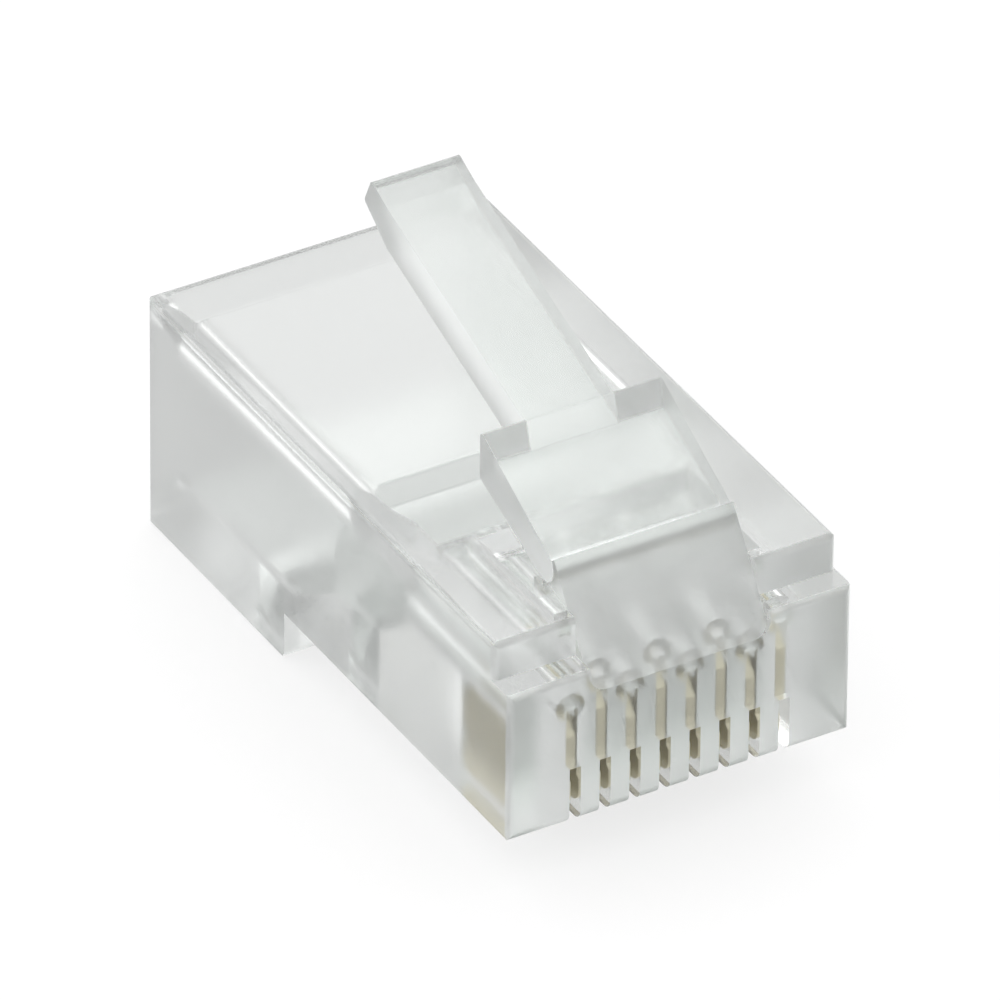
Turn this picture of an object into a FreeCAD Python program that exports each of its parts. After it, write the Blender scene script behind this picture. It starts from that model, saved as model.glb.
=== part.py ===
"""Eight-way modular plug for structured cabling, uncrimped and with no cable.

Clear moulded housing with a sprung latch on top, two crimp-in strain-relief bars underneath
and eight gold-plated blades in the nose.

Frame: millimetres. +Z points to the latch side, the blades face -Z, -Y is the mating face and
+Y the cable end. The origin is under the middle of the plug, at the level of its lowest face.
Distances called "y" below are counted from the mating face and moved into the frame on building.
"""
import FreeCAD
import Part

import math
import os

# ---- Outer form --------------------------------------------------------------------------
WIDTH = 11.68               # over both sides
LENGTH = 21.9               # mating face to cable end
NOSE_HEIGHT = 6.6           # latch side to blade side of the part that enters the jack
NOSE_LENGTH = 13.35         # mating face to the step
STEP = 1.6                  # how far the rear drops below the nose
LEDGE_DROP = 1.3            # top face down to the ledge of the mating face
LEDGE_SETBACK = 0.95        # how far the mating face stands back above the ledge
EDGE_RADIUS = 0.22          # general softening of the moulding's edges
REAR_CORNER_RADIUS = 0.45   # upright corners of the cable end
STEP_CORNER_RADIUS = 0.45   # lower corner at the step

# ---- Cable side --------------------------------------------------------------------------
SIDE_WALL = 0.95            # beside the cable
ROOF = 1.0                  # above the cable
REAR_FLOOR = 2.1            # below the cable
CAVITY_CORNER_RADIUS = 0.6  # inside corners along the cable
BELL_LENGTH = 1.5           # flared mouth, measured along the cable
BELL_DROP = 1.15            # how far the mouth opens downwards
BELL_SPREAD = 0.35          # how far the mouth opens sideways and upwards
BELL_RADIUS = 2.0           # curve between the cavity's walls and the mouth
CAVITY_FRONT = 10.2         # y where the full height of the cavity ends
CAVITY_ROOF_RAMP = 0.7      # slope from the cavity's ceiling to the wire chamber's
ROOF_RAMP_RADIUS = 0.5
RAMP_FOOT = 13.75           # y where the floor starts to climb to the wire chamber
RAMP_TOP = 10.75            # y where the climb ends
RAMP_RADIUS = 1.0           # softens both ends of the climb and of the narrowing sides
CHAMBER_ROOF = 1.5          # above the separated wires
CHAMBER_FLOOR = 2.4         # below the separated wires, measured from the nose's underside
CHAMBER_FRONT = 7.0         # y where the wire holes begin
CHAMBER_SIDE_WALL = 1.6     # beside the separated wires
GUIDE_LENGTH = 1.3          # sloping guides that lead the wires into their holes
GUIDE_RADIUS = 0.3

# ---- Wires and blades --------------------------------------------------------------------
POSITIONS = 8
PITCH = 1.02
WIRE_HOLE_RADIUS = 0.49
WIRE_ROW_HEIGHT = 3.95      # lower row of holes above the nose's underside
ROW_STAGGER = 0.7           # upper row above the lower row
WIRE_STOP = 0.7             # y where the wire holes end
HOLE_MOUTH_RADIUS = 0.58
HOLE_MOUTH_DEPTH = 0.45
FRONT_WALL = 0.5            # in front of the blades, above the window
WINDOW_HEIGHT = 2.0         # the slots stay open to the front up to here
RIB_NOSE_RADIUS = 0.4       # front lower corner of the nose and its ribs
BLADE_THICKNESS = 0.32
BLADE_LENGTH = 3.3
BLADE_BODY = 2.7            # solid lower part of a short blade
BLADE_CLEARANCE = 0.03
BLADE_RECESS = 0.25         # blade edge above the underside before crimping
BLADE_CORNER_RADIUS = 0.4
BLADE_WAIST_DEPTH = 0.14    # notch in the front and rear edge of a blade
BLADE_WAIST_LOW = 0.85
BLADE_WAIST_HIGH = 1.6
TINES = 3
TINE_TIP_WIDTH = 0.17
CRIMPED_HEIGHT = 5.9        # latch side to blade edge once crimped

# ---- Latch -------------------------------------------------------------------------------
LATCH_WIDTH = 6.1
TAIL_WIDTH = 3.0
HINGE_Y = 2.85
HINGE_HEIGHT = 0.8          # hinge above the top face
HINGE_RADIUS = 0.55
HINGE_CLEARANCE = 0.03
APRON_FOOT = 4.5            # foot of the latch root's front slope, above the nose's underside
APRON_CORNER_RADIUS = 0.5   # lower corners of the notch that the slope cuts into the mating face
CREST_Y = 2.25              # top of the slope
CREST_HEIGHT = 1.3          # top of the slope above the top face
SHOULDER_Y = 6.6            # face that locks behind the jack's stops
SHOULDER_HEIGHT = 3.3       # above the top face
SHOULDER_STEP = 0.23        # shoulder above the tail
TAIL_END_Y = 15.8
TAIL_SLOPE_DEG = 18.6
TAIL_ROOT_THICKNESS = 1.45
TAIL_TIP_THICKNESS = 1.0
TAIL_UNDERSIDE_RADIUS = 1.5
LIP_LENGTH = 0.95
LIP_SLOPE_DEG = 24.0
LATCH_EDGE_RADIUS = 0.12
RECESS_WIDTH = 7.0
RECESS_DEPTH = 0.8
RECESS_FRONT = 1.45
RECESS_LENGTH = 4.5
RECESS_RUN_OUT = 0.3        # slope at the rear end of the recess

# ---- Crimp-in bars -----------------------------------------------------------------------
BAR_GAP = 0.1
BAR_HINGE_RADIUS = 0.25
BAR_HINGE_CLEARANCE = 0.03
BAR_RECESS = 0.05           # underside of a bar above the face around it
BAR_CREST = 0.2             # flat on top of a bar
BAR_TIP_RADIUS = 0.15
JACKET_WINDOW_FRONT = 14.0
JACKET_WINDOW_LENGTH = 1.55
JACKET_BAR_STAND = 0.5      # crest of the jacket bar above the cavity floor
CONDUCTOR_WINDOW_FRONT = 8.5
CONDUCTOR_WINDOW_LENGTH = 1.6
CONDUCTOR_BAR_STAND = 0.15  # crest of the conductor bar above the chamber floor

# ---- Worked out from the sizes above -----------------------------------------------------
TOP = STEP + NOSE_HEIGHT
LEDGE = TOP - LEDGE_DROP
HALF_WIDTH = WIDTH / 2
CAVITY_HALF_WIDTH = HALF_WIDTH - SIDE_WALL
CHAMBER_HALF_WIDTH = HALF_WIDTH - CHAMBER_SIDE_WALL
CAVITY_CEILING = TOP - ROOF
CHAMBER_CEILING = TOP - CHAMBER_ROOF
CHAMBER_FLOOR_Z = STEP + CHAMBER_FLOOR
SLOT_WIDTH = BLADE_THICKNESS + 2 * BLADE_CLEARANCE
BLADE_FRONT = FRONT_WALL + BLADE_CLEARANCE
SLOT_REAR = BLADE_FRONT + BLADE_LENGTH + BLADE_CLEARANCE
BLADE_EDGE = STEP + BLADE_RECESS
CRIMP_TRAVEL = NOSE_HEIGHT - BLADE_RECESS - CRIMPED_HEIGHT
HINGE_Z = TOP + HINGE_HEIGHT
APRON_FOOT_Z = STEP + APRON_FOOT
CREST_Z = TOP + CREST_HEIGHT
BEYOND = 2.0                # how far a cutting shape runs past the face that it opens


# ---- Outlines ----------------------------------------------------------------------------
def side_point(y, z):
    """Point of a side outline, in the plane X = 0."""
    return FreeCAD.Vector(0, y - LENGTH / 2, z)


def plan_point(x, y):
    """Point of a plan outline, in the plane Z = 0."""
    return FreeCAD.Vector(x, y - LENGTH / 2, 0)


def end_point(x, z):
    """Point of an end outline, in the plane of the mating face."""
    return FreeCAD.Vector(x, -LENGTH / 2, z)


def round_corner(before, corner, after, radius):
    """Start, middle and end of the arc that rounds a corner, kept within the shorter side."""
    to_before = before - corner
    to_after = after - corner
    reach = 0.45 * min(to_before.Length, to_after.Length)
    to_before.normalize()
    to_after.normalize()
    half_angle = to_before.getAngle(to_after) / 2
    tangent = min(radius / math.tan(half_angle), reach)
    radius = tangent * math.tan(half_angle)
    inward = to_before + to_after
    inward.normalize()
    centre = corner + inward * (radius / math.sin(half_angle))
    return corner + to_before * tangent, centre - inward * radius, corner + to_after * tangent


def rounded_face(corners, place):
    """Flat face inside corners (a, b) or (a, b, radius), mapped into space by place."""
    points = [place(c[0], c[1]) for c in corners]
    radii = [c[2] if len(c) > 2 else 0 for c in corners]
    stations = []
    for i, point in enumerate(points):
        if radii[i] > 0:
            after = points[(i + 1) % len(points)]
            stations.append(round_corner(points[i - 1], point, after, radii[i]))
        else:
            stations.append((point,))
    edges = []
    for i, station in enumerate(stations):
        if len(station) > 1:
            edges.append(Part.Arc(*station).toShape())
        start = station[-1]
        end = stations[(i + 1) % len(stations)][0]
        edges.append(Part.LineSegment(start, end).toShape())
    return Part.Face(Part.Wire(edges))


def across(corners, half_width):
    """Side outline extruded across the plug, even about its middle."""
    face = rounded_face(corners, side_point)
    face.translate(FreeCAD.Vector(-half_width, 0, 0))
    return face.extrude(FreeCAD.Vector(2 * half_width, 0, 0))


def upright(corners, low, high):
    """Plan outline extruded from one height to another."""
    face = rounded_face(corners, plan_point)
    face.translate(FreeCAD.Vector(0, 0, low))
    return face.extrude(FreeCAD.Vector(0, 0, high - low))


def along(corners, near, far):
    """End outline extruded along the plug between two distances from the mating face."""
    face = rounded_face(corners, end_point)
    face.translate(FreeCAD.Vector(0, near, 0))
    return face.extrude(FreeCAD.Vector(0, far - near, 0))


def end_rectangle(half_width, low, high, radius):
    """Corners of a rounded end outline."""
    return [
        (-half_width, low, radius),
        (half_width, low, radius),
        (half_width, high, radius),
        (-half_width, high, radius),
    ]


def cross_cylinder(y, z, radius, half_width):
    """Cylinder that lies across the plug."""
    start = side_point(y, z) - FreeCAD.Vector(half_width, 0, 0)
    return Part.makeCylinder(radius, 2 * half_width, start, FreeCAD.Vector(1, 0, 0))


def tangent_point(centre, radius, target, side):
    """Where a line from target touches a circle; side is +1 for its upper, -1 for its lower."""
    dy = target[0] - centre[0]
    dz = target[1] - centre[1]
    distance = math.hypot(dy, dz)
    heading = math.atan2(dz, dy)
    offset = math.acos(radius / distance)
    angle = heading + side * offset
    return centre[0] + radius * math.cos(angle), centre[1] + radius * math.sin(angle)


# ---- Places that pieces share ------------------------------------------------------------
def position_x(index):
    """Middle of one of the blade positions, counted from the -X side."""
    return (index - (POSITIONS - 1) / 2) * PITCH


def wire_z(index):
    """Height of a wire hole: every second one lies in the upper row."""
    return STEP + WIRE_ROW_HEIGHT + (index % 2) * ROW_STAGGER


# ---- Housing -----------------------------------------------------------------------------
def outer_block():
    """Stepped outer form, softened on its sides, corners and ends."""
    side = across(
        [
            (0, STEP, RIB_NOSE_RADIUS),
            (0, LEDGE, EDGE_RADIUS),
            (LEDGE_SETBACK, LEDGE),
            (LEDGE_SETBACK, TOP, EDGE_RADIUS),
            (LENGTH, TOP, EDGE_RADIUS),
            (LENGTH, 0, EDGE_RADIUS),
            (NOSE_LENGTH, 0, STEP_CORNER_RADIUS),
            (NOSE_LENGTH, STEP, EDGE_RADIUS),
        ],
        HALF_WIDTH,
    )
    nose_end = along(end_rectangle(HALF_WIDTH, STEP, TOP, EDGE_RADIUS), 0, LENGTH)
    rear_end = along(end_rectangle(HALF_WIDTH, 0, TOP, EDGE_RADIUS), NOSE_LENGTH, LENGTH)
    return side.common(nose_end.fuse(rear_end)).common(plan_block())


def plan_block():
    """Rounded upright corners; the mating face stands back above the ledge."""
    def footprint(front):
        return [
            (-HALF_WIDTH, front, EDGE_RADIUS),
            (HALF_WIDTH, front, EDGE_RADIUS),
            (HALF_WIDTH, LENGTH, REAR_CORNER_RADIUS),
            (-HALF_WIDTH, LENGTH, REAR_CORNER_RADIUS),
        ]
    lower = upright(footprint(0), 0, LEDGE)
    upper = upright(footprint(LEDGE_SETBACK), LEDGE, TOP)
    return lower.fuse(upper)


def cable_cavity():
    """Space for the jacket and, past the ramp, for the separated wires."""
    beyond = LENGTH + BEYOND
    guide_foot = CHAMBER_FRONT + GUIDE_LENGTH
    lowest_hole = wire_z(0) - WIRE_HOLE_RADIUS
    side = across(
        [
            (beyond, REAR_FLOOR),
            (beyond, CAVITY_CEILING),
            (CAVITY_FRONT, CAVITY_CEILING, ROOF_RAMP_RADIUS),
            (CAVITY_FRONT - CAVITY_ROOF_RAMP, CHAMBER_CEILING, ROOF_RAMP_RADIUS),
            (CHAMBER_FRONT, CHAMBER_CEILING),
            (CHAMBER_FRONT, lowest_hole),
            (guide_foot, CHAMBER_FLOOR_Z, GUIDE_RADIUS),
            (RAMP_TOP, CHAMBER_FLOOR_Z, RAMP_RADIUS),
            (RAMP_FOOT, REAR_FLOOR, RAMP_RADIUS),
        ],
        CAVITY_HALF_WIDTH,
    )
    plan = upright(
        [
            (-CHAMBER_HALF_WIDTH, CHAMBER_FRONT),
            (CHAMBER_HALF_WIDTH, CHAMBER_FRONT),
            (CHAMBER_HALF_WIDTH, guide_foot, RAMP_RADIUS),
            (CAVITY_HALF_WIDTH, RAMP_TOP, RAMP_RADIUS),
            (CAVITY_HALF_WIDTH, beyond),
            (-CAVITY_HALF_WIDTH, beyond),
            (-CAVITY_HALF_WIDTH, RAMP_TOP, RAMP_RADIUS),
            (-CHAMBER_HALF_WIDTH, guide_foot, RAMP_RADIUS),
        ],
        0,
        TOP,
    )
    end = along(
        end_rectangle(CAVITY_HALF_WIDTH, REAR_FLOOR, CAVITY_CEILING, CAVITY_CORNER_RADIUS),
        0,
        beyond,
    )
    return side.common(plan).common(end)


def bell_mouth():
    """Flared entry that opens on all four sides and deepest underneath."""
    throat = LENGTH - BELL_LENGTH
    inside = throat - BELL_LENGTH
    beyond = LENGTH + BEYOND
    low = REAR_FLOOR - BELL_DROP
    high = CAVITY_CEILING + BELL_SPREAD
    wide = CAVITY_HALF_WIDTH + BELL_SPREAD
    side = across(
        [
            (inside, REAR_FLOOR),
            (throat, REAR_FLOOR, BELL_RADIUS),
            (LENGTH, low),
            (beyond, low),
            (beyond, high),
            (LENGTH, high),
            (throat, CAVITY_CEILING, BELL_RADIUS),
            (inside, CAVITY_CEILING),
        ],
        HALF_WIDTH,
    )
    plan = upright(
        [
            (CAVITY_HALF_WIDTH, inside),
            (CAVITY_HALF_WIDTH, throat, BELL_RADIUS),
            (wide, LENGTH),
            (wide, beyond),
            (-wide, beyond),
            (-wide, LENGTH),
            (-CAVITY_HALF_WIDTH, throat, BELL_RADIUS),
            (-CAVITY_HALF_WIDTH, inside),
        ],
        0,
        TOP,
    )
    throat_end = along(
        end_rectangle(CAVITY_HALF_WIDTH, REAR_FLOOR, CAVITY_CEILING, CAVITY_CORNER_RADIUS),
        0,
        throat,
    )
    mouth_end = along(end_rectangle(wide, low, high, CAVITY_CORNER_RADIUS), throat, beyond)
    return side.common(plan).common(throat_end.fuse(mouth_end))


def wire_holes():
    """One blind hole for each wire, in two staggered rows, with a countersunk mouth."""
    holes = []
    forwards = FreeCAD.Vector(0, -1, 0)
    for index in range(POSITIONS):
        mouth = side_point(CHAMBER_FRONT, wire_z(index)) + FreeCAD.Vector(position_x(index), 0, 0)
        depth = CHAMBER_FRONT - WIRE_STOP
        holes.append(Part.makeCylinder(WIRE_HOLE_RADIUS, depth, mouth, forwards))
        countersink = Part.makeCone(HOLE_MOUTH_RADIUS, WIRE_HOLE_RADIUS, HOLE_MOUTH_DEPTH, mouth, forwards)
        holes.append(countersink)
    return holes


def blade_slots():
    """One slot for each blade, open below, and to the front as high as the window."""
    slots = []
    for index in range(POSITIONS):
        slot = across(
            [
                (-BEYOND, STEP - BEYOND),
                (SLOT_REAR, STEP - BEYOND),
                (SLOT_REAR, wire_z(index)),
                (FRONT_WALL, wire_z(index)),
                (FRONT_WALL, STEP + WINDOW_HEIGHT),
                (-BEYOND, STEP + WINDOW_HEIGHT),
            ],
            SLOT_WIDTH / 2,
        )
        slot.translate(FreeCAD.Vector(position_x(index), 0, 0))
        slots.append(slot)
    return slots


def latch_recess():
    """Hollow in the top face that the pressed latch sinks into."""
    rear = RECESS_FRONT + RECESS_LENGTH
    return across(
        [
            (RECESS_FRONT, TOP + BEYOND),
            (RECESS_FRONT, TOP - RECESS_DEPTH, EDGE_RADIUS),
            (rear - RECESS_RUN_OUT, TOP - RECESS_DEPTH, EDGE_RADIUS),
            (rear, TOP),
            (rear, TOP + BEYOND),
        ],
        RECESS_WIDTH / 2,
    )


def apron_y(z):
    """Where the front slope of the latch root is at a height."""
    return CREST_Y * (z - APRON_FOOT_Z) / (CREST_Z - APRON_FOOT_Z)


def apron_notch():
    """Notch that carries the latch root's front slope down into the mating face."""
    slope = across(
        [(apron_y(STEP), STEP), (CREST_Y, CREST_Z), (apron_y(STEP), CREST_Z)],
        LATCH_WIDTH / 2,
    )
    mouth = along(
        [
            (-LATCH_WIDTH / 2, APRON_FOOT_Z, APRON_CORNER_RADIUS),
            (LATCH_WIDTH / 2, APRON_FOOT_Z, APRON_CORNER_RADIUS),
            (LATCH_WIDTH / 2, CREST_Z),
            (-LATCH_WIDTH / 2, CREST_Z),
        ],
        -BEYOND,
        CREST_Y,
    )
    return slope.common(mouth)


def latch_root():
    """Block that carries the latch's hinge in a round seat, with a slope up from the front."""
    buried = LEDGE - EDGE_RADIUS
    base = TOP - RECESS_DEPTH - EDGE_RADIUS
    block = across(
        [
            (apron_y(buried), buried),
            (CREST_Y, CREST_Z),
            (HINGE_Y, HINGE_Z),
            (HINGE_Y, TOP),
            (HINGE_Y + HINGE_RADIUS, TOP),
            (HINGE_Y + HINGE_RADIUS, base),
            (RECESS_FRONT - EDGE_RADIUS, base),
            (RECESS_FRONT - EDGE_RADIUS, buried),
        ],
        LATCH_WIDTH / 2,
    )
    return block.cut(cross_cylinder(HINGE_Y, HINGE_Z, HINGE_RADIUS + HINGE_CLEARANCE, LATCH_WIDTH))


def bar_window(front, length, bottom, ceiling, half_width):
    """Opening for a crimp-in bar, with a round seat for its hinge in the rear wall."""
    rear = front + length
    window = across(
        [(front, bottom - BEYOND), (rear, bottom - BEYOND), (rear, ceiling), (front, ceiling)],
        half_width,
    )
    hinge_z = bottom + BAR_RECESS + BAR_HINGE_RADIUS
    seat = cross_cylinder(rear, hinge_z, BAR_HINGE_RADIUS + BAR_HINGE_CLEARANCE, half_width)
    return window.fuse(seat)


def jacket_window():
    """Opening in the rear floor for the bar that grips the cable jacket."""
    middle = (REAR_FLOOR + CAVITY_CEILING) / 2
    half_width = CAVITY_HALF_WIDTH - CAVITY_CORNER_RADIUS / 2
    return bar_window(JACKET_WINDOW_FRONT, JACKET_WINDOW_LENGTH, 0, middle, half_width)


def conductor_window():
    """Opening in the nose's floor for the bar that grips the separated wires."""
    middle = (CHAMBER_FLOOR_Z + CHAMBER_CEILING) / 2
    return bar_window(
        CONDUCTOR_WINDOW_FRONT, CONDUCTOR_WINDOW_LENGTH, STEP, middle, CHAMBER_HALF_WIDTH
    )


def housing():
    """The clear moulded body."""
    body = outer_block().cut([latch_recess(), apron_notch()])
    body = body.fuse(latch_root())
    hollows = [cable_cavity(), bell_mouth(), jacket_window(), conductor_window()]
    body = body.cut(hollows + wire_holes() + blade_slots())
    return body.removeSplitter()


# ---- Latch -------------------------------------------------------------------------------
def tail_top(y):
    """Height of the tail's top face, which turns up into a lip at its end."""
    lip_start = TAIL_END_Y - LIP_LENGTH
    straight = TOP + SHOULDER_HEIGHT - SHOULDER_STEP
    straight += (min(y, lip_start) - SHOULDER_Y) * math.tan(math.radians(TAIL_SLOPE_DEG))
    return straight + max(y - lip_start, 0) * math.tan(math.radians(LIP_SLOPE_DEG))


def latch_wedge():
    """Wide part from the hinge to the two locking shoulders."""
    hinge = (HINGE_Y, HINGE_Z)
    shoulder = (SHOULDER_Y, TOP + SHOULDER_HEIGHT)
    foot = (SHOULDER_Y, tail_top(SHOULDER_Y) - TAIL_ROOT_THICKNESS)
    upper = tangent_point(hinge, HINGE_RADIUS, shoulder, 1)
    lower = tangent_point(hinge, HINGE_RADIUS, foot, -1)
    wedge = across(
        [upper, shoulder + (LATCH_EDGE_RADIUS,), foot + (LATCH_EDGE_RADIUS,), lower, hinge],
        LATCH_WIDTH / 2,
    )
    return wedge.fuse(cross_cylinder(HINGE_Y, HINGE_Z, HINGE_RADIUS, LATCH_WIDTH / 2))


def latch_tail():
    """Narrow finger tail behind the shoulders, with a square end across its upturned lip."""
    start = SHOULDER_Y - TAIL_ROOT_THICKNESS / 2
    lip_start = TAIL_END_Y - LIP_LENGTH
    lip_slope = math.radians(LIP_SLOPE_DEG)
    under_y = TAIL_END_Y + TAIL_TIP_THICKNESS * math.sin(lip_slope)
    under_z = tail_top(TAIL_END_Y) - TAIL_TIP_THICKNESS * math.cos(lip_slope)
    return across(
        [
            (start, tail_top(start)),
            (lip_start, tail_top(lip_start)),
            (TAIL_END_Y, tail_top(TAIL_END_Y), LATCH_EDGE_RADIUS),
            (under_y, under_z, LATCH_EDGE_RADIUS),
            (lip_start, tail_top(lip_start) - TAIL_ROOT_THICKNESS, TAIL_UNDERSIDE_RADIUS),
            (SHOULDER_Y, tail_top(SHOULDER_Y) - TAIL_ROOT_THICKNESS),
            (start, tail_top(start) - TAIL_ROOT_THICKNESS / 2),
        ],
        TAIL_WIDTH / 2,
    )


def latch_lever():
    """Sprung latch: wedge, locking shoulders and finger tail."""
    return latch_wedge().fuse(latch_tail()).removeSplitter()


# ---- Crimp-in bars -----------------------------------------------------------------------
def crimp_bar(front, length, bottom, crest, half_width):
    """Wedge-shaped bar with a round hinge edge at its rear and its grip edge in front."""
    rear = front + length
    hinge = (rear, bottom + BAR_RECESS + BAR_HINGE_RADIUS)
    tip = front + BAR_GAP
    brow = (tip + BAR_CREST, crest)
    upper = tangent_point(hinge, BAR_HINGE_RADIUS, brow, 1)
    wedge = across(
        [
            (tip, bottom + BAR_RECESS, BAR_TIP_RADIUS),
            (tip, crest, BAR_TIP_RADIUS),
            brow,
            upper,
            hinge,
            (rear, bottom + BAR_RECESS),
        ],
        half_width - BAR_GAP,
    )
    return wedge.fuse(cross_cylinder(hinge[0], hinge[1], BAR_HINGE_RADIUS, half_width - BAR_GAP))


def strain_relief_bar():
    """Bar that is folded in against the cable jacket."""
    half_width = CAVITY_HALF_WIDTH - CAVITY_CORNER_RADIUS / 2
    crest = REAR_FLOOR + JACKET_BAR_STAND
    bar = crimp_bar(JACKET_WINDOW_FRONT, JACKET_WINDOW_LENGTH, 0, crest, half_width)
    return bar.removeSplitter()


def conductor_bar():
    """Bar that is folded in against the separated wires."""
    crest = CHAMBER_FLOOR_Z + CONDUCTOR_BAR_STAND
    bar = crimp_bar(
        CONDUCTOR_WINDOW_FRONT, CONDUCTOR_WINDOW_LENGTH, STEP, crest, CHAMBER_HALF_WIDTH
    )
    return bar.removeSplitter()


# ---- Blades ------------------------------------------------------------------------------
def blade_edge_notch(edge_y, inward):
    """Corners of the notch in a blade's front or rear edge, from low to high."""
    low = BLADE_EDGE + BLADE_WAIST_LOW
    high = BLADE_EDGE + BLADE_WAIST_HIGH
    deep = edge_y + inward * BLADE_WAIST_DEPTH
    return [
        (edge_y, low),
        (deep, low + BLADE_WAIST_DEPTH),
        (deep, high - BLADE_WAIST_DEPTH),
        (edge_y, high),
    ]


def contact(index):
    """Stamped blade with a rounded contact edge below and piercing tines above."""
    front = BLADE_FRONT
    rear = BLADE_FRONT + BLADE_LENGTH
    tip = wire_z(index) - CRIMP_TRAVEL
    shoulder = BLADE_EDGE + BLADE_BODY + (index % 2) * ROW_STAGGER
    tine = BLADE_LENGTH / TINES
    corners = [(front, BLADE_EDGE, BLADE_CORNER_RADIUS), (rear, BLADE_EDGE, BLADE_CORNER_RADIUS)]
    corners += blade_edge_notch(rear, -1)
    for i in range(TINES):
        back = rear - i * tine
        middle = back - tine / 2
        corners += [
            (back, shoulder),
            (middle + TINE_TIP_WIDTH / 2, tip),
            (middle - TINE_TIP_WIDTH / 2, tip),
        ]
    corners += [(front, shoulder)]
    corners += list(reversed(blade_edge_notch(front, 1)))
    blade = across(corners, BLADE_THICKNESS / 2)
    blade.translate(FreeCAD.Vector(position_x(index), 0, 0))
    return blade


# ---- Writing the parts -------------------------------------------------------------------
def build():
    """Every node's name and solid."""
    shapes = {
        "housing": housing(),
        "latch_lever": latch_lever(),
        "strain_relief_bar": strain_relief_bar(),
        "conductor_bar": conductor_bar(),
    }
    for index in range(POSITIONS):
        shapes["contact_%d" % (index + 1)] = contact(index)
    return shapes


def main():
    """Write one STEP file for each node."""
    os.makedirs("parts", exist_ok=True)
    for name, shape in build().items():
        shape.exportStep("parts/%s.step" % name)
        print("%-18s %9.3f mm3, solids %d" % (name, shape.Volume, len(shape.Solids)))
    print("crimp travel of a blade %.3f mm" % CRIMP_TRAVEL)


main()
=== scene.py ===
"""Looks of an eight-way modular plug: clear moulded housing, sprung latch and gold-plated blades.

Everything is in metres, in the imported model's own frame: +Z is the latch side, -Y the mating
face and +Y the cable end. Sizes whose names end in _mm are in millimetres and are turned into
metres by the helper mm(). The CAD pieces keep their shapes: each sub-assembly sorts the faces of
its pieces by how they were formed, and lays a procedural finish on each kind.
"""
import logging
import math
from abc import ABC, abstractmethod
from dataclasses import dataclass
from enum import Enum
from typing import Union

import bpy
from mathutils import Matrix, Vector
from mathutils.bvhtree import BVHTree


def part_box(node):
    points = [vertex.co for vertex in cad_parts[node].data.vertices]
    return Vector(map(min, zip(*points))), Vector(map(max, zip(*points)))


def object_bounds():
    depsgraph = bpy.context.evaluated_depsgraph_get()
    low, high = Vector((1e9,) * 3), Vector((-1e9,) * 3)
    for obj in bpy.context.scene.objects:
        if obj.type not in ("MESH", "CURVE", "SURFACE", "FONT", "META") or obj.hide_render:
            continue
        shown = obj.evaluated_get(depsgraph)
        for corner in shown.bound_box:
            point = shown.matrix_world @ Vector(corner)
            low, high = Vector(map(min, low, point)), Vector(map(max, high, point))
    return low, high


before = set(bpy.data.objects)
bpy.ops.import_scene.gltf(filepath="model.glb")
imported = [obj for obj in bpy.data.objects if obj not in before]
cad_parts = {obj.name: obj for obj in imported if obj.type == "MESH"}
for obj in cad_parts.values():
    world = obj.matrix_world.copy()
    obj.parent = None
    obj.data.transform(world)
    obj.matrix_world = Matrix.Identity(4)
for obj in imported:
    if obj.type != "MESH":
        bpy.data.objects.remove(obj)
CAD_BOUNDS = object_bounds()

logging.basicConfig(level=logging.INFO, format="%(message)s")
LOG = logging.getLogger("modular_plug")
MM = 0.001
NOISE_DETAIL = 2.0
BOUNCES = 20
GLOSSY_BOUNCES = 16
Value = Union[float, bpy.types.NodeSocket]


def mm(value: float) -> float:
    """Millimetres in metres."""
    return value * MM


class Skin(Enum):
    """How a face was formed, which settles how it looks; on the blades the darker flanks and paler edges
    are painted shade and a painted highlight.
    """

    POLISHED = "polished mould wall"
    SIDE = "drawn side wall"
    CORED = "core pins and slides"
    SLOPED = "sloping front of the latch root"
    TAIL = "finger surface of the latch"
    FLANK = "rolled flank of the strip"
    SHEARED = "sheared edge of the strip"


# ---- Node helpers ------------------------------------------------------------------------
class NodeSheet:
    """Short calls for laying out the nodes of one tree."""

    def __init__(self, tree: bpy.types.NodeTree) -> None:
        """Take over a tree and empty it.

        Args:
            tree: the node tree of a material, a world or a node group.
        """
        self.tree = tree
        tree.nodes.clear()

    def add(self, kind: str, **settings: object) -> bpy.types.Node:
        """Add a node.

        Args:
            kind: the node's class name.
            **settings: properties of the node.

        Returns:
            The new node.
        """
        node = self.tree.nodes.new(kind)
        for name, value in settings.items():
            setattr(node, name, value)
        return node

    def link(self, source: bpy.types.NodeSocket, target: bpy.types.NodeSocket) -> None:
        """Join an output to an input."""
        self.tree.links.new(source, target)

    def feed(self, value: Value, target: bpy.types.NodeSocket) -> None:
        """Give an input a socket's value or a plain number."""
        if isinstance(value, bpy.types.NodeSocket):
            self.link(value, target)
        else:
            target.default_value = value

    def math(self, operation: str, first: Value, second: Value = 0.0) -> bpy.types.NodeSocket:
        """Arithmetic on sockets or plain numbers.

        Args:
            operation: the Math node's operation.
            first: a socket or a number.
            second: a socket or a number.

        Returns:
            The result's socket.
        """
        node = self.add("ShaderNodeMath", operation=operation)
        self.feed(first, node.inputs[0])
        self.feed(second, node.inputs[1])
        return node.outputs[0]

    def span(self, value: Value, low: Value, high: Value) -> bpy.types.NodeSocket:
        """Map 0 to 1 onto low to high.

        Args:
            value: a socket or a number from 0 to 1.
            low: the result at 0.
            high: the result at 1.

        Returns:
            The result's socket.
        """
        node = self.add("ShaderNodeMapRange")
        self.feed(value, node.inputs["Value"])
        self.feed(low, node.inputs["To Min"])
        self.feed(high, node.inputs["To Max"])
        return node.outputs[0]


Group = tuple[NodeSheet, bpy.types.Node, bpy.types.Node]


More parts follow.
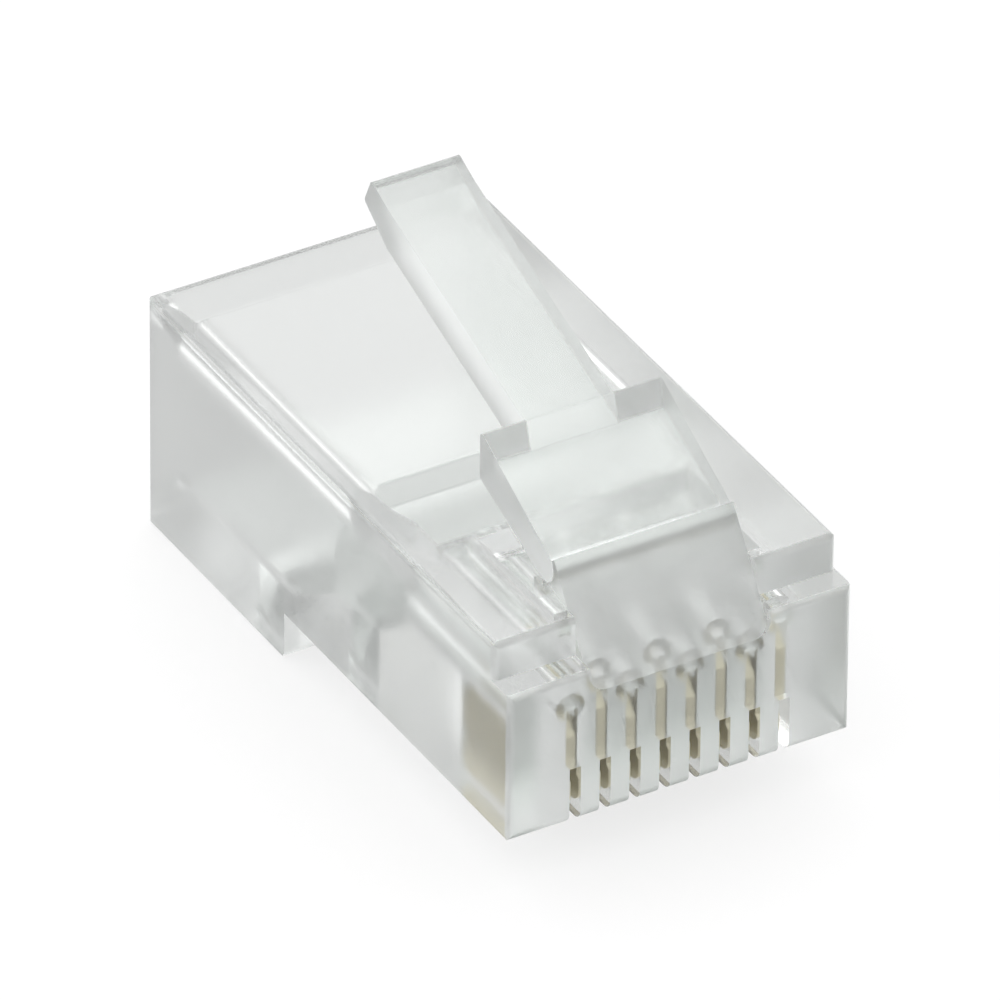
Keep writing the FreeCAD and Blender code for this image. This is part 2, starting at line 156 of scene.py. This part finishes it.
def new_group(name: str, inputs: dict[str, float], outputs: dict[str, str]) -> Group:
    """Start a shader node group.

    Args:
        name: the group's name.
        inputs: float inputs with their defaults.
        outputs: output names with their socket types.

    Returns:
        The group's sheet, its input node and its output node.
    """
    tree = bpy.data.node_groups.new(name, "ShaderNodeTree")
    for label, value in inputs.items():
        socket = tree.interface.new_socket(label, in_out="INPUT", socket_type="NodeSocketFloat")
        socket.default_value = value
    for label, kind in outputs.items():
        tree.interface.new_socket(label, in_out="OUTPUT", socket_type=kind)
    sheet = NodeSheet(tree)
    return sheet, sheet.add("NodeGroupInput"), sheet.add("NodeGroupOutput")


def moulded_surface() -> bpy.types.NodeTree:
    """Moulding's surface: slow flow waves with a fine grain over them.

    Returns:
        The group, with outputs Height (about 0 to 1) and Haze (0 to 1).
    """
    sheet, given, result = new_group(
        "moulded_surface",
        {"Wave scale": 350.0, "Grain scale": 9000.0, "Grain share": 0.25},
        {"Height": "NodeSocketFloat", "Haze": "NodeSocketFloat"},
    )
    place = sheet.add("ShaderNodeTexCoord")
    wave = sheet.add("ShaderNodeTexNoise")
    grain = sheet.add("ShaderNodeTexNoise")
    for noise, label in ((wave, "Wave scale"), (grain, "Grain scale")):
        sheet.link(place.outputs["Object"], noise.inputs["Vector"])
        sheet.link(given.outputs[label], noise.inputs["Scale"])
        noise.inputs["Detail"].default_value = NOISE_DETAIL
    weighted = sheet.math("MULTIPLY", grain.outputs["Fac"], given.outputs["Grain share"])
    sheet.link(sheet.math("ADD", wave.outputs["Fac"], weighted), result.inputs["Height"])
    sheet.link(wave.outputs["Fac"], result.inputs["Haze"])
    return sheet.tree


def finger_wear() -> bpy.types.NodeTree:
    """Hairline scuffs along the plug, as sliding in and out of bags and jacks leaves.

    Returns:
        The group, with output Scuff (0 to 1, mostly 0).
    """
    sheet, given, result = new_group(
        "finger_wear",
        {"Scale": 2600.0, "Stretch": 0.05, "Rarity": 0.62, "Sharpness": 8.0},
        {"Scuff": "NodeSocketFloat"},
    )
    place = sheet.add("ShaderNodeTexCoord")
    split = sheet.add("ShaderNodeSeparateXYZ")
    join = sheet.add("ShaderNodeCombineXYZ")
    sheet.link(place.outputs["Object"], split.inputs[0])
    sheet.link(split.outputs["X"], join.inputs["X"])
    sheet.link(sheet.math("MULTIPLY", split.outputs["Y"], given.outputs["Stretch"]), join.inputs["Y"])
    sheet.link(split.outputs["Z"], join.inputs["Z"])
    line = sheet.add("ShaderNodeTexNoise")
    sheet.link(join.outputs[0], line.inputs["Vector"])
    sheet.link(given.outputs["Scale"], line.inputs["Scale"])
    over = sheet.math("SUBTRACT", line.outputs["Fac"], given.outputs["Rarity"])
    scuff = sheet.add("ShaderNodeMath", operation="MULTIPLY", use_clamp=True)
    sheet.link(over, scuff.inputs[0])
    sheet.link(given.outputs["Sharpness"], scuff.inputs[1])
    sheet.link(scuff.outputs[0], result.inputs["Scuff"])
    return sheet.tree


def stamped_metal() -> bpy.types.NodeTree:
    """Stamped strip: fine lines along the blade's height and slow blotches in the plating.

    Returns:
        The group, with outputs Height, Streak and Blotch, each 0 to 1.
    """
    sheet, given, result = new_group(
        "stamped_metal",
        {"Line scale": 9000.0, "Blotch scale": 900.0, "Line stretch": 0.06},
        {"Height": "NodeSocketFloat", "Streak": "NodeSocketFloat", "Blotch": "NodeSocketFloat"},
    )
    place = sheet.add("ShaderNodeTexCoord")
    split = sheet.add("ShaderNodeSeparateXYZ")
    join = sheet.add("ShaderNodeCombineXYZ")
    sheet.link(place.outputs["Object"], split.inputs[0])
    sheet.link(split.outputs["X"], join.inputs["X"])
    sheet.link(split.outputs["Y"], join.inputs["Y"])
    sheet.link(sheet.math("MULTIPLY", split.outputs["Z"], given.outputs["Line stretch"]), join.inputs["Z"])
    line = sheet.add("ShaderNodeTexNoise")
    blotch = sheet.add("ShaderNodeTexNoise")
    sheet.link(join.outputs[0], line.inputs["Vector"])
    sheet.link(place.outputs["Object"], blotch.inputs["Vector"])
    sheet.link(given.outputs["Line scale"], line.inputs["Scale"])
    sheet.link(given.outputs["Blotch scale"], blotch.inputs["Scale"])
    for output in ("Height", "Streak"):
        sheet.link(line.outputs["Fac"], result.inputs[output])
    sheet.link(blotch.outputs["Fac"], result.inputs["Blotch"])
    return sheet.tree


# ---- Finishes ----------------------------------------------------------------------------
@dataclass(frozen=True)
class ClearPlastic:
    """Clear moulded polycarbonate, clouded by how rough the mould left its surfaces."""

    name: str
    tint: tuple[float, float, float] = (0.977, 0.997, 0.984)
    ior: float = 1.585
    roughness: float = 0.20
    unevenness: float = 0.03
    wave_depth_mm: float = 0.02
    wave_scale: float = 350.0
    grain_share: float = 0.25
    bump_strength: float = 0.12
    scuffing: float = 0.0

    def material(self, groups: dict[str, bpy.types.NodeTree]) -> bpy.types.Material:
        """Build the material.

        Args:
            groups: the shared node groups by name.

        Returns:
            The material.
        """
        material = bpy.data.materials.new(self.name)
        material.use_nodes = True
        sheet = NodeSheet(material.node_tree)
        output = sheet.add("ShaderNodeOutputMaterial")
        shader = sheet.add("ShaderNodeBsdfPrincipled")
        shader.inputs["Base Color"].default_value = (*self.tint, 1.0)
        shader.inputs["IOR"].default_value = self.ior
        shader.inputs["Transmission Weight"].default_value = 1.0
        surface = sheet.add("ShaderNodeGroup", node_tree=groups["moulded"])
        surface.inputs["Wave scale"].default_value = self.wave_scale
        surface.inputs["Grain share"].default_value = self.grain_share
        wear = sheet.add("ShaderNodeGroup", node_tree=groups["wear"])
        scuff = sheet.math("MULTIPLY", wear.outputs["Scuff"], self.scuffing)
        rough = sheet.span(
            surface.outputs["Haze"], self.roughness - self.unevenness, self.roughness + self.unevenness
        )
        sheet.link(rough, shader.inputs["Roughness"])
        bump = sheet.add("ShaderNodeBump")
        bump.inputs["Strength"].default_value = self.bump_strength
        bump.inputs["Distance"].default_value = mm(self.wave_depth_mm)
        sheet.link(sheet.math("SUBTRACT", surface.outputs["Height"], scuff), bump.inputs["Height"])
        sheet.link(bump.outputs["Normal"], shader.inputs["Normal"])
        sheet.link(shader.outputs["BSDF"], output.inputs["Surface"])
        return material


@dataclass(frozen=True)
class GoldPlate:
    """Thin pale gold over stamped bronze."""

    name: str
    colour: tuple[float, float, float] = (0.93, 0.87, 0.70)
    dull: tuple[float, float, float] = (0.85, 0.79, 0.62)
    roughness: float = 0.45
    unevenness: float = 0.10
    line_depth_mm: float = 0.004
    line_stretch: float = 0.06
    bump_strength: float = 0.25

    def material(self, groups: dict[str, bpy.types.NodeTree]) -> bpy.types.Material:
        """Build the material.

        Args:
            groups: the shared node groups by name.

        Returns:
            The material.
        """
        material = bpy.data.materials.new(self.name)
        material.use_nodes = True
        sheet = NodeSheet(material.node_tree)
        output = sheet.add("ShaderNodeOutputMaterial")
        shader = sheet.add("ShaderNodeBsdfPrincipled")
        shader.inputs["Metallic"].default_value = 1.0
        surface = sheet.add("ShaderNodeGroup", node_tree=groups["stamped"])
        surface.inputs["Line stretch"].default_value = self.line_stretch
        mix = sheet.add("ShaderNodeMix", data_type="RGBA")
        mix.inputs[6].default_value = (*self.colour, 1.0)
        mix.inputs[7].default_value = (*self.dull, 1.0)
        sheet.link(surface.outputs["Blotch"], mix.inputs[0])
        sheet.link(mix.outputs[2], shader.inputs["Base Color"])
        rough = sheet.span(
            surface.outputs["Streak"], self.roughness - self.unevenness, self.roughness + self.unevenness
        )
        sheet.link(rough, shader.inputs["Roughness"])
        bump = sheet.add("ShaderNodeBump")
        bump.inputs["Strength"].default_value = self.bump_strength
        bump.inputs["Distance"].default_value = mm(self.line_depth_mm)
        sheet.link(surface.outputs["Height"], bump.inputs["Height"])
        sheet.link(bump.outputs["Normal"], shader.inputs["Normal"])
        sheet.link(shader.outputs["BSDF"], output.inputs["Surface"])
        return material


Finish = Union[ClearPlastic, GoldPlate]


# ---- Studio ------------------------------------------------------------------------------
@dataclass(frozen=True)
class SoftLamp:
    """Square area lamp that looks at the plug: degrees round and above it, metres and watts."""

    name: str
    azimuth: float
    elevation: float
    distance: float
    size: float
    power: float

    def place(self) -> None:
        """Make the lamp and put it in the scene."""
        data = bpy.data.lights.new(self.name, "AREA")
        data.size = self.size
        data.energy = self.power
        lamp = bpy.data.objects.new(self.name, data)
        a, e = math.radians(self.azimuth), math.radians(self.elevation)
        away = Vector((math.sin(a) * math.cos(e), -math.cos(a) * math.cos(e), math.sin(e)))
        lamp.location = away * self.distance
        lamp.rotation_euler = away.to_track_quat("Z", "Y").to_euler()
        bpy.context.scene.collection.objects.link(lamp)


@dataclass
class Studio:
    """Pale floor, a large dim lamp behind and a world that is brightest above and behind.

    The floor shows one brightness to the camera and another through the plastic, and the world's
    strength runs from horizon to zenith and leans by rear_gain along +Y and right_gain along +X.
    """

    floor_half: float = 1.0
    floor_seen_through: float = 0.66
    floor_whiteness: float = 0.72
    floor_gap_mm: float = 0.01
    floor_colour: tuple[float, float, float] = (0.9, 0.9, 0.9)
    horizon: float = 1.07
    zenith: float = 1.30
    horizon_rise: float = 0.05
    zenith_rise: float = 0.75
    rear_gain: float = 0.15
    right_gain: float = -0.15
    lamps: tuple[SoftLamp, ...] = (
        SoftLamp("rear", azimuth=150.0, elevation=40.0, distance=0.60, size=0.60, power=0.6),
    )

    def build(self) -> None:
        """Make the floor, the lamps and the world."""
        self.floor()
        for lamp in self.lamps:
            lamp.place()
        self.world()

    def floor(self) -> None:
        """Flat white floor that glass and metal see as pale."""
        mesh = bpy.data.meshes.new("floor")
        r = self.floor_half
        low = CAD_BOUNDS[0][2] - mm(self.floor_gap_mm)
        mesh.from_pydata([(-r, -r, low), (r, -r, low), (r, r, low), (-r, r, low)], [], [(0, 1, 2, 3)])
        floor = bpy.data.objects.new("floor", mesh)
        bpy.context.scene.collection.objects.link(floor)
        material = bpy.data.materials.new("floor_white")
        material.use_nodes = True
        sheet = NodeSheet(material.node_tree)
        output = sheet.add("ShaderNodeOutputMaterial")
        matt = sheet.add("ShaderNodeBsdfDiffuse")
        matt.inputs["Color"].default_value = (*self.floor_colour, 1.0)
        glow = sheet.add("ShaderNodeEmission")
        path = sheet.add("ShaderNodeLightPath")
        through = sheet.math("MAXIMUM", path.outputs["Is Glossy Ray"], path.outputs["Is Transmission Ray"])
        seen = path.outputs["Is Camera Ray"]
        sheet.link(sheet.span(seen, self.floor_seen_through, 1.0), glow.inputs["Strength"])
        share = sheet.math("MAXIMUM", through, sheet.math("MULTIPLY", seen, self.floor_whiteness))
        mix = sheet.add("ShaderNodeMixShader")
        sheet.link(share, mix.inputs[0])
        sheet.link(matt.outputs[0], mix.inputs[1])
        sheet.link(glow.outputs[0], mix.inputs[2])
        sheet.link(mix.outputs[0], output.inputs["Surface"])
        mesh.materials.append(material)

    def world(self) -> None:
        """Make the world: white straight to the camera, graded by direction to everything else."""
        world = bpy.data.worlds.new("studio")
        bpy.context.scene.world = world
        world.use_nodes = True
        sheet = NodeSheet(world.node_tree)
        output = sheet.add("ShaderNodeOutputWorld")
        place = sheet.add("ShaderNodeTexCoord")
        split = sheet.add("ShaderNodeSeparateXYZ")
        sheet.link(place.outputs["Generated"], split.inputs[0])
        ramp = sheet.add("ShaderNodeMapRange")
        sheet.link(split.outputs["Z"], ramp.inputs["Value"])
        ramp.inputs["From Min"].default_value = self.horizon_rise
        ramp.inputs["From Max"].default_value = self.zenith_rise
        ramp.inputs["To Min"].default_value = self.horizon
        ramp.inputs["To Max"].default_value = self.zenith
        rear = sheet.math("MULTIPLY", split.outputs["Y"], self.rear_gain)
        right = sheet.math("MULTIPLY", split.outputs["X"], self.right_gain)
        lean = sheet.math("ADD", sheet.math("ADD", rear, right), 1.0)
        light = sheet.math("MULTIPLY", ramp.outputs[0], lean)
        path = sheet.add("ShaderNodeLightPath")
        strength = sheet.math("MAXIMUM", light, path.outputs["Is Camera Ray"])
        sky = sheet.add("ShaderNodeBackground")
        sky.inputs["Color"].default_value = (1.0, 1.0, 1.0, 1.0)
        sheet.link(strength, sky.inputs["Strength"])
        sheet.link(sky.outputs[0], output.inputs["Surface"])


@dataclass
class ProductCamera:
    """Long-lens camera in front of the plug's left corner, looking down on it."""

    azimuth: float = -30.33
    elevation: float = 34.87
    roll: float = 0.51
    distance: float = 0.541
    lens_mm: float = 652.6
    aim_from_front_mm: float = 10.7
    aim_height_mm: float = 4.0
    lift_mm: float = 1.2325
    drift_mm: float = 0.0388
    clip_start: float = 0.01

    def build(self) -> None:
        """Place the camera and make it the scene's own."""
        a, e = math.radians(self.azimuth), math.radians(self.elevation)
        back = Vector((math.sin(a) * math.cos(e), -math.cos(a) * math.cos(e), math.sin(e)))
        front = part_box("housing")[0].y
        aim = Vector((0.0, front + mm(self.aim_from_front_mm), mm(self.aim_height_mm)))
        eye = aim + back * self.distance
        right = Vector((math.cos(a), math.sin(a), 0.0))
        up = back.cross(right)
        look = aim + up * mm(self.lift_mm) + right * mm(self.drift_mm) - eye
        turn = look.to_track_quat("-Z", "Y").to_matrix() @ Matrix.Rotation(math.radians(self.roll), 3, "Z")
        data = bpy.data.cameras.new("camera")
        data.lens = self.lens_mm
        data.clip_start = self.clip_start
        camera = bpy.data.objects.new("camera", data)
        camera.matrix_world = Matrix.Translation(eye) @ turn.to_4x4()
        bpy.context.scene.collection.objects.link(camera)
        bpy.context.scene.camera = camera


# ---- The plug ----------------------------------------------------------------------------
@dataclass
class SubAssembly(ABC):
    """CAD pieces that share one set of finishes, laid on face by face."""

    pieces: tuple[str, ...]
    finishes: dict[Skin, Finish]

    @abstractmethod
    def skin(self, centre: Vector, normal: Vector, open_air: bool) -> Skin:
        """Say how one face was formed.

        Args:
            centre: the face's centre in metres.
            normal: the face's normal.
            open_air: whether nothing of the piece stands in front of the face.

        Returns:
            The face's skin.
        """

    def dress(self, groups: dict[str, bpy.types.NodeTree]) -> None:
        """Give every face of every piece its finish.

        Args:
            groups: the shared node groups by name.
        """
        skins = list(self.finishes)
        materials = [self.finishes[skin].material(groups) for skin in skins]
        for name in self.pieces:
            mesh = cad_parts[name].data
            mesh.materials.clear()
            for material in materials:
                mesh.materials.append(material)
            tally = dict.fromkeys(skins, 0)
            for face, open_air in zip(mesh.polygons, self.open_faces(mesh)):
                skin = self.skin(face.center, face.normal, open_air)
                face.material_index = skins.index(skin)
                tally[skin] += 1
            LOG.info("%s: %s", name, ", ".join(f"{n} faces {s.value}" for s, n in tally.items()))

    @staticmethod
    def open_faces(mesh: bpy.types.Mesh, start_mm: float = 0.01) -> list[bool]:
        """Find the faces that look out into the open.

        Args:
            mesh: the piece's mesh.
            start_mm: how far off the face the look begins.

        Returns:
            One flag per face.
        """
        corners = [vertex.co for vertex in mesh.vertices]
        tree = BVHTree.FromPolygons(corners, [tuple(face.vertices) for face in mesh.polygons])
        flags = []
        for face in mesh.polygons:
            hit = tree.ray_cast(face.center + face.normal * mm(start_mm), face.normal)[0]
            flags.append(hit is None)
        return flags


@dataclass
class Housing(SubAssembly):
    """Clear body: polished roof, satin sides, frosted slope below the latch, smooth cored inside."""

    apron_lean: float = 0.3
    front_zone_mm: float = 3.2
    side_lean: float = 0.7

    def skin(self, centre: Vector, normal: Vector, open_air: bool) -> Skin:
        """Tell the latch root's slope and the cored inside from the outside.

        Args:
            centre: the face's centre in metres.
            normal: the face's normal.
            open_air: whether nothing of the piece stands in front of the face.

        Returns:
            The face's skin.
        """
        front = CAD_BOUNDS[0][1] + mm(self.front_zone_mm)
        if normal.z > self.apron_lean and normal.y < -self.apron_lean and centre.y < front:
            return Skin.SLOPED
        if not open_air:
            return Skin.CORED
        return Skin.SIDE if max(abs(normal.x), -normal.y) > self.side_lean else Skin.POLISHED


@dataclass
class Latch(SubAssembly):
    """Sprung lever: polished wedge and shoulders, with a finger surface on the sloping tail."""

    tail_from_front_mm: float = 6.9
    tail_lean: float = 0.8
    side_lean: float = 0.7

    def skin(self, centre: Vector, normal: Vector, open_air: bool) -> Skin:
        """Tell the tail's upper side and the satin flanks from the rest.

        Args:
            centre: the face's centre in metres.
            normal: the face's normal.
            open_air: whether nothing of the piece stands in front of the face; not used here.

        Returns:
            The face's skin.
        """
        if abs(normal.x) > self.side_lean:
            return Skin.SIDE
        tail = centre.y > CAD_BOUNDS[0][1] + mm(self.tail_from_front_mm)
        return Skin.TAIL if tail and normal.z > self.tail_lean else Skin.POLISHED


@dataclass
class FoldingBars(SubAssembly):
    """Strain-relief bars inside the body, shaped by slides."""

    def skin(self, centre: Vector, normal: Vector, open_air: bool) -> Skin:
        """Bars have one skin."""
        return Skin.CORED


@dataclass
class Blades(SubAssembly):
    """Gold-plated blades: rolled flanks painted a darker gold as painted shade, sheared edges a paler gold
    as a painted highlight.
    """

    flank_lean: float = 0.7

    def skin(self, centre: Vector, normal: Vector, open_air: bool) -> Skin:
        """Tell flanks from edges."""
        return Skin.FLANK if abs(normal.x) > self.flank_lean else Skin.SHEARED


def sub_assemblies() -> list[SubAssembly]:
    """List the plug's sub-assemblies with their finishes.

    Returns:
        The sub-assemblies, which cover every CAD node between them.
    """
    blades = tuple(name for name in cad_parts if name.startswith("contact"))
    return [
        Housing(
            ("housing",),
            {
                Skin.POLISHED: ClearPlastic("housing_polished", scuffing=0.35),
                Skin.SIDE: ClearPlastic("housing_side", roughness=0.33, unevenness=0.02, scuffing=0.35),
                Skin.CORED: ClearPlastic("housing_cored", roughness=0.15, unevenness=0.02),
                Skin.SLOPED: ClearPlastic("housing_sloped", roughness=0.60, grain_share=0.4),
            },
        ),
        Latch(
            ("latch_lever",),
            {
                Skin.POLISHED: ClearPlastic("latch_polished"),
                Skin.SIDE: ClearPlastic("latch_side", roughness=0.45),
                Skin.TAIL: ClearPlastic("latch_tail", grain_share=0.5, scuffing=0.5),
            },
        ),
        FoldingBars(
            ("strain_relief_bar", "conductor_bar"),
            {Skin.CORED: ClearPlastic("bar_cored", roughness=0.35, grain_share=0.5)},
        ),
        Blades(
            blades,
            {
                # Painted shade: the flanks get a darker gold. Painted highlight: the sheared edges keep
                # the paler gold.
                Skin.FLANK: GoldPlate("gold_flank_painted_shade", (0.63, 0.55, 0.33), (0.54, 0.47, 0.28)),
                Skin.SHEARED: GoldPlate("gold_edge_painted_highlight", line_stretch=0.5),
            },
        ),
    ]


def main() -> None:
    """Dress the plug, then build its studio and camera."""
    groups = {"moulded": moulded_surface(), "stamped": stamped_metal(), "wear": finger_wear()}
    for assembly in sub_assemblies():
        assembly.dress(groups)
    Studio().build()
    ProductCamera().build()
    bpy.context.scene.view_settings.view_transform = "Standard"
    cycles = bpy.context.scene.cycles
    cycles.max_bounces = cycles.transmission_bounces = BOUNCES
    cycles.glossy_bounces = GLOSSY_BOUNCES


if __name__ == "__main__":
    main()
